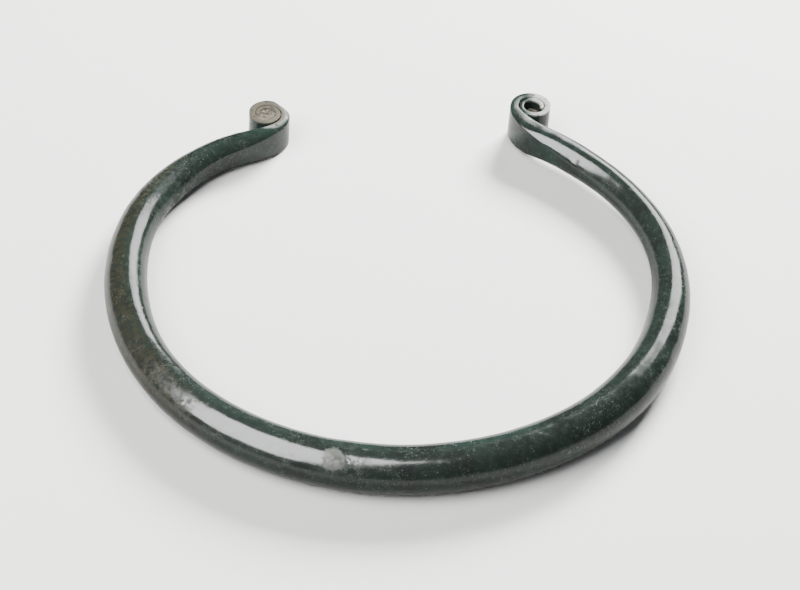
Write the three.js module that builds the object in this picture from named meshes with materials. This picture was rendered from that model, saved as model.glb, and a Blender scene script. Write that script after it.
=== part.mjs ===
// A bronze torc: one round bar bent into an open hoop. Each arm thins out, is hammered flat
// on its neck side, swings outward and is rolled up into an upright scroll.
// Millimetres, +Z up. The torc lies flat with its mouth toward +Y.
// The origin is the middle of its footprint, on the surface that it lies on.
import * as THREE from 'three';

// Driving dimensions.
// Each arm is followed along the middle line of its bar, from the middle of the hoop to its
// roll. A row is [distance along the bar, value], and values run straight between rows.
// turn:   bend toward the neck, in degrees per 10 mm (a minus sign bends away from it)
// width:  bar size across the hoop
// height: bar size upright
// flat:   height of the flat face on the neck side, as a share of the bar's height
// corner: radius of the corners on the bar's outer side, at most half of the bar's size
// lift:   clearance under the bar
// chips:  how far a chip in the top edge on the neck side reaches across the bar
const RIGHT_ARM = {
  side: 1,
  rollStart: 192,
  turn: [[0, 8.17], [35, 7.15], [70, 9.42], [100, 6.8], [126, 11.17], [146, 9.31], [160, 9.01],
    [172, 8.71], [180, -11.53], [185, -37.55], [189, -60.49]],
  width: [[0, 12.2], [70, 12.1], [100, 10.7], [125, 9.2], [146, 8.4], [160, 8.2], [165, 8.3],
    [169, 7.7], [173, 6.9], [179, 5.7], [183, 5], [188, 3.7]],
  height: [[0, 12.2], [70, 12.1], [100, 10.7], [125, 9.4], [150, 9.2]],
  flat: [[147, 0.1], [162, 0.2], [170, 0.35], [176, 0.56], [182, 0.87], [188, 0.97],
    [192, 0.985]],
  corner: [[150, 6], [168, 3.5], [178, 1.6], [187, 0.5]],
  lift: [[60, 0], [90, 0.3], [145, 1.2], [175, 1.5]],
  chips: [],
};
const LEFT_ARM = {
  side: -1,
  rollStart: 176.5,
  turn: [[0, 8.17], [35, 8.79], [69, 9.15], [99, 7.03], [124, 10.52], [144, 11.9], [154, 18.62],
    [162, 6.75], [167, -29.24], [171, -59.21], [174, -87.39]],
  width: [[0, 12.2], [34, 11.9], [67, 11], [96, 11.1], [120, 10.1], [139, 9.1], [146, 8.4],
    [152, 7.6], [158, 6.8], [163, 5.7], [167, 4.3], [172, 2.6]],
  height: [[0, 12.2], [34, 11.9], [67, 11], [96, 11.1], [120, 10], [139, 9.2]],
  flat: [[122, 0.1], [138, 0.38], [152, 0.5], [159, 0.58], [164, 0.67], [170, 0.88],
    [174, 0.97], [177, 0.985]],
  corner: [[138, 6], [154, 3.5], [164, 1.6], [172, 0.5]],
  lift: [[0, 0]],
  chips: [[170.5, 0], [172.5, 1.6], [175, 0.5], [177, 1.2], [180.5, 1.5], [183, 0]],
};

const HOOP_FRONT_SKEW = -0.67;   // degrees that the middle of the hoop is turned by
const ROLL_RADIUS = 5.15;        // bend radius where the roll starts
const ROLL_SHRINK = 0.082;       // radius lost for each mm of strip rolled up
const ROLL_TURN = 560;           // degrees from the start of the roll to the tip
const ROLL_THICKNESS = 0.47;     // strip thickness as a share of its bend radius
const CHIP_SLOPE = 0.8;          // fall of a chipped edge for each mm outward

// How finely the solid is faceted.
const TRACE_STEP = 0.1;
const SECTION_SPACING = 3.2;
const SECTION_TURN = THREE.MathUtils.degToRad(15);
const FLAT_POINTS = [-0.6, 0, 0.6];
const NECK_SIDE_STEPS = 4;
const OUTER_SIDE_STEPS = 5;

// Value of a table of rows at a distance, level before its first row and after its last.
function at(rows, distance) {
  const next = rows.findIndex((row) => row[0] > distance);
  if (next === 0) return rows[0][1];
  if (next < 0) return rows[rows.length - 1][1];
  const [from, to] = [rows[next - 1], rows[next]];
  return THREE.MathUtils.mapLinear(distance, from[0], to[0], from[1], to[1]);
}

function bendRadius(arm, distance) {
  return ROLL_RADIUS - ROLL_SHRINK * (distance - arm.rollStart);
}

// Turn toward the neck in radians per mm.
function turnRate(arm, distance) {
  if (distance >= arm.rollStart) return -1 / bendRadius(arm, distance);
  const rollRate = THREE.MathUtils.radToDeg(-10 / ROLL_RADIUS);
  const rows = [...arm.turn, [arm.rollStart, rollRate]];
  return THREE.MathUtils.degToRad(at(rows, distance) / 10);
}

function barWidth(arm, distance) {
  if (distance >= arm.rollStart) return ROLL_THICKNESS * bendRadius(arm, distance);
  return at([...arm.width, [arm.rollStart, ROLL_THICKNESS * ROLL_RADIUS]], distance);
}

// Upright outline of the bar as [across, up] pairs about its middle. Across runs from the neck
// side (minus) to the outer side. It starts at the bottom of the flat face and goes over the top.
function sectionOutline(arm, distance) {
  const halfWidth = barWidth(arm, distance) / 2;
  const halfHeight = at(arm.height, distance) / 2;
  const flat = at(arm.flat, distance);
  const corner = at(arm.corner, distance);
  const cornerWidth = Math.min(corner, halfWidth);
  const cornerHeight = Math.min(corner, halfHeight);
  const neckReach = halfWidth / Math.sqrt(1 - flat * flat);
  const edgeAngle = Math.acos(halfWidth / neckReach);

  const upperHalf = [];
  for (let i = 0; i <= NECK_SIDE_STEPS; i++) {
    const angle = THREE.MathUtils.lerp(edgeAngle, Math.PI / 2, i / NECK_SIDE_STEPS);
    upperHalf.push([-neckReach * Math.cos(angle), halfHeight * Math.sin(angle)]);
  }
  for (let i = 1; i < OUTER_SIDE_STEPS; i++) {
    const angle = (Math.PI / 2) * (1 - i / OUTER_SIDE_STEPS);
    upperHalf.push([
      halfWidth - cornerWidth * (1 - Math.cos(angle)),
      halfHeight - cornerHeight * (1 - Math.sin(angle)),
    ]);
  }
  const lowerHalf = upperHalf.map(([across, up]) => [across, -up]).reverse();
  const flatFace = FLAT_POINTS.map((share) => [-halfWidth, share * flat * halfHeight]);

  const chip = at(arm.chips.length ? arm.chips : [[0, 0]], distance);
  const chippedTop = upperHalf.map(([across, up]) => {
    const overEdge = Math.max(0, chip - (across + halfWidth));
    return [across, Math.min(up, halfHeight - CHIP_SLOPE * overEdge)];
  });
  return [...flatFace, ...chippedTop, [halfWidth, 0], ...lowerHalf];
}

// Sections of one arm from the middle of the hoop to the tip of its roll, each a ring of points.
function armSections(arm) {
  const tipRadius = ROLL_RADIUS * Math.exp(-ROLL_SHRINK * THREE.MathUtils.degToRad(ROLL_TURN));
  const tip = arm.rollStart + (ROLL_RADIUS - tipRadius) / ROLL_SHRINK;
  const sections = [];
  const place = new THREE.Vector2(0, 0);
  let heading = arm.side * THREE.MathUtils.degToRad(HOOP_FRONT_SKEW);
  let travelled = Infinity;
  let turned = 0;
  for (let distance = 0; distance < tip; distance += TRACE_STEP) {
    if (travelled >= SECTION_SPACING || turned >= SECTION_TURN) {
      sections.push(sectionRing(arm, distance, place, heading));
      travelled = 0;
      turned = 0;
    }
    const turn = turnRate(arm, distance + TRACE_STEP / 2) * TRACE_STEP;
    place.x += Math.cos(heading + turn / 2) * TRACE_STEP;
    place.y += Math.sin(heading + turn / 2) * TRACE_STEP;
    heading += turn;
    travelled += TRACE_STEP;
    turned += Math.abs(turn);
  }
  sections.push(sectionRing(arm, tip, place, heading));
  return sections;
}

function sectionRing(arm, distance, place, heading) {
  const middle = at(arm.lift, distance) + at(arm.height, distance) / 2;
  return sectionOutline(arm, distance).map(([across, up]) => new THREE.Vector3(
    arm.side * (place.x + across * Math.sin(heading)),
    place.y - across * Math.cos(heading),
    middle + up,
  ));
}

// Closed skin over a row of rings, with a fan of triangles over each end ring.
function skin(rings) {
  const size = rings[0].length;
  const points = rings.flat();
  const triangles = [];
  for (let r = 0; r + 1 < rings.length; r++) {
    for (let i = 0; i < size; i++) {
      const a = r * size + i;
      const b = r * size + ((i + 1) % size);
      triangles.push(a, b, b + size, a, b + size, a + size);
    }
  }
  const lastRing = (rings.length - 1) * size;
  for (let i = 1; i + 1 < size; i++) {
    triangles.push(0, i + 1, i);
    triangles.push(lastRing, lastRing + i, lastRing + i + 1);
  }
  const geometry = new THREE.BufferGeometry().setFromPoints(points);
  geometry.setIndex(triangles);
  return geometry;
}

const leftSections = armSections(LEFT_ARM).slice(1).reverse();
const rightSections = armSections(RIGHT_ARM);
const torcShape = skin([...leftSections, ...rightSections]);

torcShape.computeBoundingBox();
const box = torcShape.boundingBox;
const footprint = box.getCenter(new THREE.Vector3());
torcShape.translate(-footprint.x, -footprint.y, -box.min.z);
torcShape.computeVertexNormals();

const bronze = new THREE.MeshStandardMaterial({ color: 0x24342b, roughness: 0.25, metalness: 0.5 });
const torc = new THREE.Mesh(torcShape, bronze);
torc.name = 'torc';

const group = new THREE.Group();
group.add(torc);

export default group;
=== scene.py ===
import bpy
from math import atan2, exp, pi, radians
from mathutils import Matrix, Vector


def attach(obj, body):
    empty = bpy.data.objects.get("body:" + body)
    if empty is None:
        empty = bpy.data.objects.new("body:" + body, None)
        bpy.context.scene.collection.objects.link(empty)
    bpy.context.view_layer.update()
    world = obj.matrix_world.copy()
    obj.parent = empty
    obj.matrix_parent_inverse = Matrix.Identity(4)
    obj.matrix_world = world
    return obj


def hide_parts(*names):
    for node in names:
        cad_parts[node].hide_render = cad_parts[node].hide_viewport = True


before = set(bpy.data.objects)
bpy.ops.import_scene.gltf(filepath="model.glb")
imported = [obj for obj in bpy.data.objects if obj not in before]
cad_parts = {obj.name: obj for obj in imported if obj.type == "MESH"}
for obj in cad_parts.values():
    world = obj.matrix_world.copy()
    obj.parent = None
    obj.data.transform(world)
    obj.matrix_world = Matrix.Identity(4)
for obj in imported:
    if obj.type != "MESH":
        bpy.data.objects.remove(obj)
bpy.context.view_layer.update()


# ---- studio: a wide pale floor and two softboxes, one high on the left, one low behind right ----
# Each softbox is two lamps: one that the metal mirrors, and a wash that lights what is dull.

LEFT_SIDE = (-0.479, -0.352, 0.804)
BACK_RIGHT = (0.385, 0.776, 0.50)
LEFT_ROLL = radians(10)
RIGHT_ROLL = radians(3)
FLOOR_SIZE = 6
FLOOR_COLOR = (0.80, 0.785, 0.765, 1)
FILL_COLOR = (0.85, 0.95, 1, 1)
FILL_STRENGTH = 0.15


def make_floor():
    bpy.ops.mesh.primitive_plane_add(size=FLOOR_SIZE, location=(0, 0, 0))
    floor = bpy.context.object
    floor.name = "floor"
    material = bpy.data.materials.new("pale_floor")
    material.use_nodes = True
    shader = material.node_tree.nodes["Principled BSDF"]
    shader.inputs["Base Color"].default_value = FLOOR_COLOR
    shader.inputs["Roughness"].default_value = 0.9
    shader.inputs["Specular IOR Level"].default_value = 0.1
    floor.data.materials.append(material)


def make_softbox(name, side, distance, width, height, power, roll, glossy=True, diffuse=True):
    """A soft area light that faces the middle of the torc from that side."""
    direction = Vector(side).normalized()
    light = bpy.data.lights.new(name, "AREA")
    light.shape = "RECTANGLE"
    light.size = width
    light.size_y = height
    light.energy = power
    holder = bpy.data.objects.new(name, light)
    holder.location = direction * distance
    holder.rotation_euler = direction.to_track_quat("Z", "Y").to_euler()
    holder.rotation_euler.rotate_axis("Z", roll)
    holder.visible_glossy = glossy
    holder.visible_diffuse = diffuse
    bpy.context.scene.collection.objects.link(holder)


def make_studio():
    make_floor()
    make_softbox("left_softbox", LEFT_SIDE, 0.55, 0.53, 0.69, 70, LEFT_ROLL, diffuse=False)
    make_softbox("left_wash", LEFT_SIDE, 0.75, 0.6, 0.7, 12, LEFT_ROLL, glossy=False)
    make_softbox("right_softbox", BACK_RIGHT, 1.2, 0.667, 0.514, 38, RIGHT_ROLL, diffuse=False)
    make_softbox("right_wash", BACK_RIGHT, 0.9, 0.36, 0.28, 47, RIGHT_ROLL, glossy=False)
    world = bpy.data.worlds.new("fill")
    world.use_nodes = True
    world.node_tree.nodes["Background"].inputs["Color"].default_value = FILL_COLOR
    world.node_tree.nodes["Background"].inputs["Strength"].default_value = FILL_STRENGTH
    bpy.context.scene.world = world


def make_camera():
    camera = bpy.data.cameras.new("camera")
    camera.sensor_width = 36
    camera.lens = 108
    camera.clip_start = 0.01
    holder = bpy.data.objects.new("camera", camera)
    holder.location = (-0.00194, -0.44671, 0.41967)
    holder.rotation_euler = (radians(46.679), radians(-3.078), radians(2.566))
    bpy.context.scene.collection.objects.link(holder)
    bpy.context.scene.camera = holder


# ---- shader maths ----

class Shade:
    """A socket of a material's nodes. Maths on it adds Math nodes."""

    def __init__(self, socket):
        self.socket = socket

    def node(self, kind, settings=(), inputs=(), output=0):
        """Any other node of this material: its settings first, then its sockets' values or links."""
        tree = self.socket.id_data
        made = tree.nodes.new(kind)
        for name, value in dict(settings).items():
            setattr(made, name, value)
        for name, value in dict(inputs).items():
            if isinstance(value, Shade):
                tree.links.new(value.socket, made.inputs[name])
            else:
                made.inputs[name].default_value = value
        return Shade(made.outputs[output])

    def math(self, operation, *values):
        return self.node("ShaderNodeMath", {"operation": operation}, enumerate(values))

    def __add__(self, other):
        return self.math("ADD", self, other)

    def __radd__(self, other):
        return self.math("ADD", other, self)

    def __sub__(self, other):
        return self.math("SUBTRACT", self, other)

    def __rsub__(self, other):
        return self.math("SUBTRACT", other, self)

    def __mul__(self, other):
        return self.math("MULTIPLY", self, other)

    def __rmul__(self, other):
        return self.math("MULTIPLY", other, self)

    def __abs__(self):
        return self.math("ABSOLUTE", self)

    def or_more(self, other):
        return self.math("MAXIMUM", self, other)

    def over(self, low, high):
        """Rises softly from 0 at low to 1 at high. It falls if high is the smaller one."""
        if low > high:
            return 1 - self.over(high, low)
        return self.node("ShaderNodeMapRange", {"interpolation_type": "SMOOTHSTEP"},
                         {"Value": self, "From Min": low, "From Max": high})

    def tint(self, below, above):
        """The colour below where this is 0, and above where it is 1."""
        return self.node("ShaderNodeMix", {"data_type": "RGBA"},
                         {0: self, 6: as_color(below), 7: as_color(above)}, 2)

    def noise(self, size, detail=2, roughness=0.5, distortion=0):
        """Cloudy noise on this place, with lumps of about that size in metres."""
        return self.node("ShaderNodeTexNoise", (), {
            "Vector": self, "Scale": 1 / size, "Detail": detail,
            "Roughness": roughness, "Distortion": distortion})

    def away_from(self, point):
        """Distance of this place from a point, in metres."""
        return self.node("ShaderNodeVectorMath", {"operation": "DISTANCE"},
                         {0: self, 1: point}, 1)

    def near(self, point, reach, full=0):
        """1 within full of a point, and 0 beyond reach."""
        return self.away_from(point).over(reach, full)

    def bump(self, strength, distance):
        return self.node("ShaderNodeBump", (), {
            "Height": self, "Strength": strength, "Distance": distance})

    def axes(self):
        """This place's x, y and z."""
        return [self.node("ShaderNodeSeparateXYZ", (), {0: self}, axis) for axis in range(3)]


def as_color(color):
    return color if isinstance(color, Shade) else (*color, 1)


def new_material(name):
    """A material, its Principled shader and the place on the piece."""
    material = bpy.data.materials.new(name)
    material.use_nodes = True
    tree = material.node_tree
    place = Shade(tree.nodes.new("ShaderNodeTexCoord").outputs["Object"])
    return material, tree.nodes["Principled BSDF"], place


def feed(shader, **values):
    for name, value in values.items():
        shader.id_data.links.new(value.socket, shader.inputs[name.replace("_", " ")])


# ---- materials ----

# the middle of each scroll's top, and how far its outer turn reaches
RIGHT_SCROLL = (0.0335, 0.0672, 0.0107)
LEFT_SCROLL = (-0.0386, 0.0577, 0.0092)
SCROLL_REACH = 0.0068
SCROLL_EDGE = 0.001

# corroded, rough places: their middle and how far they reach
ROUGH_SPOTS = (
    ((-0.0610, 0.0260, 0.0085), 0.017),
    ((-0.0560, -0.0460, 0.0100), 0.009),
    ((-0.0485, -0.0530, 0.0100), 0.005),
    ((-0.0090, -0.0705, 0.0098), 0.008),
    ((0.0658, -0.0266, 0.0108), 0.0035),
    ((0.0618, -0.0330, 0.0115), 0.005),
)
CRUST = (-0.0123, -0.0692, 0.0111)
PIT = (0.0450, 0.0471, 0.0090)
BLISTER = (-0.0062, -0.0664, 0.0120)

BLACK_GREEN = (0.0030, 0.0062, 0.0044)
DEEP_GREEN = (0.0056, 0.0120, 0.0088)
GREY_GREEN = (0.0130, 0.0210, 0.0140)
BLUE_GREEN = (0.0050, 0.0190, 0.0145)
OLIVE_BROWN = (0.0170, 0.0150, 0.0060)
PALE_SPECK = (0.055, 0.085, 0.065)
PALE_TRACK = (0.045, 0.068, 0.050)
CRUST_GREY = (0.085, 0.090, 0.078)
PIT_BROWN = (0.040, 0.024, 0.010)
# pale metal of wear, also used as a painted highlight of the back-right softbox on the scroll tops
WORN_METAL_AND_SHEEN = (0.30, 0.32, 0.28)
CAKED_EARTH = (0.075, 0.064, 0.046)
DARK_EARTH = (0.020, 0.016, 0.010)
PALE_EARTH = (0.130, 0.112, 0.080)

PATINA_IOR = 1.36
POLISHED = 0.15
DULL_SHARE = 0.38
SPECKS_PER_METRE = 1900


def make_patina():
    material, shader, place = new_material("patina")
    x, y, z = place.axes()
    radius = place.node("ShaderNodeVectorMath", {"operation": "MULTIPLY"},
                        {0: place, 1: (1, 1, 0)}).away_from((0, 0, 0))
    shader.inputs["IOR"].default_value = PATINA_IOR

    # deep green, cloudy, black-green in places, with a mottled lighter grain
    clouds = place.noise(0.009, 3, 0.6)
    mottle = place.noise(0.0014, 4, 0.7)
    color = clouds.over(0.36, 0.64).tint(BLACK_GREEN, DEEP_GREEN)
    color = (mottle.over(0.46, 0.70) * 0.7).tint(color, GREY_GREEN)

    # blue-green near the scrolls and along the hoop's inner front
    near_scrolls = y.over(0.036, 0.056)
    inner_front = y.over(-0.045, -0.055) * radius.over(0.0665, 0.0640)
    teal = near_scrolls.or_more(inner_front) * clouds.over(0.36, 0.62)
    color = (teal * 0.6).tint(color, BLUE_GREEN)

    # olive brown on the outer side of the left arm, mottled with the green
    outer_left = x.over(-0.035, -0.060) * radius.over(0.0675, 0.0705) * y.over(0.050, 0.020)
    color = (outer_left * mottle.over(0.36, 0.56) * 0.8).tint(color, OLIVE_BROWN)

    # rough spots, broken up by the mottling
    (point, reach), *other_spots = ROUGH_SPOTS
    rough = place.near(point, reach)
    for point, reach in other_spots:
        rough = rough.or_more(place.near(point, reach))
    rough = rough * mottle.over(0.42, 0.58)

    # pale specks and dust, in drifts and on the rough spots
    drift = place.noise(0.011, 3, 0.6).over(0.38, 0.62).or_more(rough)
    dots = place.node("ShaderNodeTexVoronoi", (), {"Vector": place, "Scale": SPECKS_PER_METRE})
    specks = dots.over(0.34, 0.14) * mottle.over(0.48, 0.60) * drift
    dust = place.noise(0.00045, 2, 0.6).over(0.60, 0.70) * drift * 0.45
    specks = specks.or_more(dust)
    color = (specks * 0.6).tint(color, PALE_SPECK)

    # fine winding tracks
    winding = place.noise(0.0022, 2, 0.5, 1.5)
    tracks = abs(winding - 0.5).over(0.016, 0.004) * place.noise(0.006, 2).over(0.54, 0.66)
    color = (tracks * 0.35).tint(color, PALE_TRACK)

    # a grey matte crust on the front, and one brown pit near the right scroll
    crust = (place.away_from(CRUST) - mottle * 0.0022).over(0.0022, 0.0012)
    color = (crust * 0.8).tint(color, CRUST_GREY)
    color = (place.near(PIT, 0.0011, 0.0006) * 0.8).tint(color, PIT_BROWN)

    # pale metal on the scrolls' top edges: partly wear, partly a painted highlight standing for the
    # back-right softbox's reflection on the flat tops
    right_top = (place.near(RIGHT_SCROLL, SCROLL_REACH, SCROLL_REACH - SCROLL_EDGE)
                 * z.over(0.0098, 0.0105) * x.over(0.0312, 0.0345))
    left_top = (place.near(LEFT_SCROLL, SCROLL_REACH, SCROLL_REACH - SCROLL_EDGE)
                * z.over(0.0084, 0.0091) * (x - y * 0.5).over(-0.0660, -0.0640))
    wear_and_sheen = right_top.or_more(left_top * 0.6) * mottle.over(0.30, 0.50)
    color = (wear_and_sheen * 0.85).tint(color, WORN_METAL_AND_SHEEN)

    # earth that lies on the left scroll
    caked = (place.near(LEFT_SCROLL, 0.0056, 0.0046) * z.over(0.0084, 0.0089)
             * mottle.over(0.32, 0.44))
    color = (caked * 0.85).tint(color, CAKED_EARTH)

    roughness = (POLISHED + specks * 0.25 + tracks * 0.15 + rough * 0.12 + crust * 0.3
                 + mottle.over(0.45, 0.7) * 0.05 + wear_and_sheen * 0.2)
    height = (place.noise(0.006, 2) * 0.5 + mottle * (0.12 + rough * 0.25) + specks * 0.15
              + crust * 0.6 - tracks * 0.12)
    bump = height.bump(0.6, 0.00013)
    feed(shader, Base_Color=color, Roughness=roughness, Normal=bump)

    # a dull share of the same colour, larger on corroded and dirty places
    dull = place.node("ShaderNodeBsdfPrincipled", (), {
        "Base Color": color, "Roughness": 0.8, "Specular IOR Level": 0.1, "Normal": bump})
    share = DULL_SHARE + (rough * 0.6).or_more(caked * 0.6) + crust * 0.3
    mixed = place.node("ShaderNodeMixShader", (), {
        0: share, 1: Shade(shader.outputs[0]), 2: dull})
    material.node_tree.links.new(
        mixed.socket, material.node_tree.nodes["Material Output"].inputs["Surface"])
    return material


def make_earth_material():
    material, shader, place = new_material("dry_earth")
    lumps = place.noise(0.0009, 4, 0.7)
    shader.inputs["Roughness"].default_value = 0.9
    shader.inputs["Specular IOR Level"].default_value = 0.2
    feed(shader, Base_Color=lumps.over(0.36, 0.64).tint(DARK_EARTH, PALE_EARTH),
         Normal=lumps.bump(0.8, 0.0003))
    return material


# ---- shapes ----

MERGE_DISTANCE = 1e-6
QUAD_ANGLE = radians(60)
SHARP_ANGLE = radians(35)
SHARP_CREASE = 0.75
SMOOTH_LEVELS = 2

# size and depth of the soft unevenness left by hammering, and of the finer one from corrosion
UNEVENNESS = ((0.010, 0.00018), (0.0025, 0.00003))
UNEVENNESS_SUNK = 0.75

# a scroll's outer turn: a spiral that tightens as it turns
ROLL_START_RADIUS = 0.00515
ROLL_SHRINK = 0.082
EARTH_SIDES = 64
EARTH_RINGS = 10
EARTH_LUMP = 0.0008
EARTH_UNEVENNESS = 0.0007


def displace(piece, size, depth, sunk, direction="NORMAL"):
    """Moves the active piece's skin by clouds of that size. sunk is 1 if it may only sink."""
    texture = bpy.data.textures.new("clouds", "CLOUDS")
    texture.noise_scale = size
    uneven = piece.modifiers.new("uneven", "DISPLACE")
    uneven.texture = texture
    uneven.texture_coords = "LOCAL"
    uneven.direction = direction
    uneven.mid_level = sunk
    uneven.strength = depth
    bpy.ops.object.modifier_apply(modifier=uneven.name)


def push(piece, point, reach, height):
    """Raises or sinks the skin around a point, in a soft round spot."""
    middle = Vector(point)
    for vertex in piece.data.vertices:
        away = (vertex.co - middle).length / reach
        if away < 1:
            vertex.co += vertex.normal * height * (1 - away ** 2) ** 2


def copy_of_cad(node, name):
    """A merged copy of a CAD node, alone in the selection and active. Its sharp edges are creased."""
    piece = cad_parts[node].copy()
    piece.data = piece.data.copy()
    piece.name = name
    for key in list(piece.keys()):
        del piece[key]
    bpy.context.scene.collection.objects.link(piece)
    piece.parent = None
    bpy.ops.object.select_all(action="DESELECT")
    piece.select_set(True)
    bpy.context.view_layer.objects.active = piece
    bpy.ops.object.mode_set(mode="EDIT")
    bpy.ops.mesh.select_mode(type="EDGE")
    bpy.ops.mesh.select_all(action="SELECT")
    bpy.ops.mesh.remove_doubles(threshold=MERGE_DISTANCE)
    bpy.ops.mesh.tris_convert_to_quads(face_threshold=QUAD_ANGLE, shape_threshold=QUAD_ANGLE)
    bpy.ops.mesh.select_all(action="DESELECT")
    bpy.ops.mesh.edges_select_sharp(sharpness=SHARP_ANGLE)
    bpy.ops.transform.edge_crease(value=SHARP_CREASE)
    bpy.ops.object.mode_set(mode="OBJECT")
    return piece


def make_torc():
    torc = copy_of_cad("torc", "torc_skin")
    smooth = torc.modifiers.new("smooth", "SUBSURF")
    smooth.levels = SMOOTH_LEVELS
    smooth.render_levels = SMOOTH_LEVELS
    bpy.ops.object.modifier_apply(modifier=smooth.name)
    for size, depth in UNEVENNESS:
        displace(torc, size, depth, UNEVENNESS_SUNK)
    push(torc, CRUST, 0.0030, 0.00010)
    push(torc, BLISTER, 0.0012, 0.00022)
    push(torc, PIT, 0.0014, -0.00014)
    bpy.ops.object.shade_smooth()
    torc.data.materials.clear()
    torc.data.materials.append(make_patina())
    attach(torc, "root")
    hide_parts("torc")


def edit_top_face(piece):
    """Goes to edit mode with only the piece's top face selected."""
    bpy.ops.object.mode_set(mode="EDIT")
    bpy.ops.mesh.select_mode(type="FACE")
    bpy.ops.mesh.select_all(action="DESELECT")
    bpy.ops.object.mode_set(mode="OBJECT")
    for face in piece.data.polygons:
        face.select = face.normal.z > 0.9
    bpy.ops.object.mode_set(mode="EDIT")


def pack_with_earth(name, scroll, low, high, turns_left, material, hole_radius, hole_depth):
    """Earth inside a scroll: a plug that follows the outer turn, with a hole at its middle."""
    bpy.ops.object.select_all(action="DESELECT")
    bpy.ops.mesh.primitive_cylinder_add(vertices=EARTH_SIDES, radius=1, depth=high - low,
                                        location=(0, 0, (low + high) / 2))
    earth = bpy.context.object
    earth.name = name
    bpy.ops.object.transform_apply(location=True, rotation=True, scale=True)
    edit_top_face(earth)
    ring = (1 - hole_radius / ROLL_START_RADIUS) / EARTH_RINGS
    for _ in range(EARTH_RINGS):
        bpy.ops.mesh.inset(thickness=ring)
    bpy.ops.mesh.extrude_region_move(TRANSFORM_OT_translate={"value": (0, 0, -hole_depth)})
    bpy.ops.object.mode_set(mode="OBJECT")

    # the unit cylinder takes the spiral's outline
    for vertex in earth.data.vertices:
        side = Vector((vertex.co.x, vertex.co.y))
        turned = atan2(side.y, side.x) if turns_left else pi - atan2(side.y, side.x)
        reach = ROLL_START_RADIUS * exp(-ROLL_SHRINK * (turned % (2 * pi)))
        vertex.co.x, vertex.co.y = Vector(scroll[:2]) + side * reach
    displace(earth, EARTH_LUMP, EARTH_UNEVENNESS, 1, "Z")
    bpy.ops.object.shade_smooth()
    earth.data.materials.append(material)
    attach(earth, "root")


make_camera()
make_studio()
make_torc()
dry_earth = make_earth_material()
pack_with_earth("left_earth", LEFT_SCROLL, 0.0005, 0.0091, True, dry_earth, 0.0005, 0.0030)
pack_with_earth("right_earth", RIGHT_SCROLL, 0.0020, 0.0082, False, dry_earth, 0.0012, 0.0006)
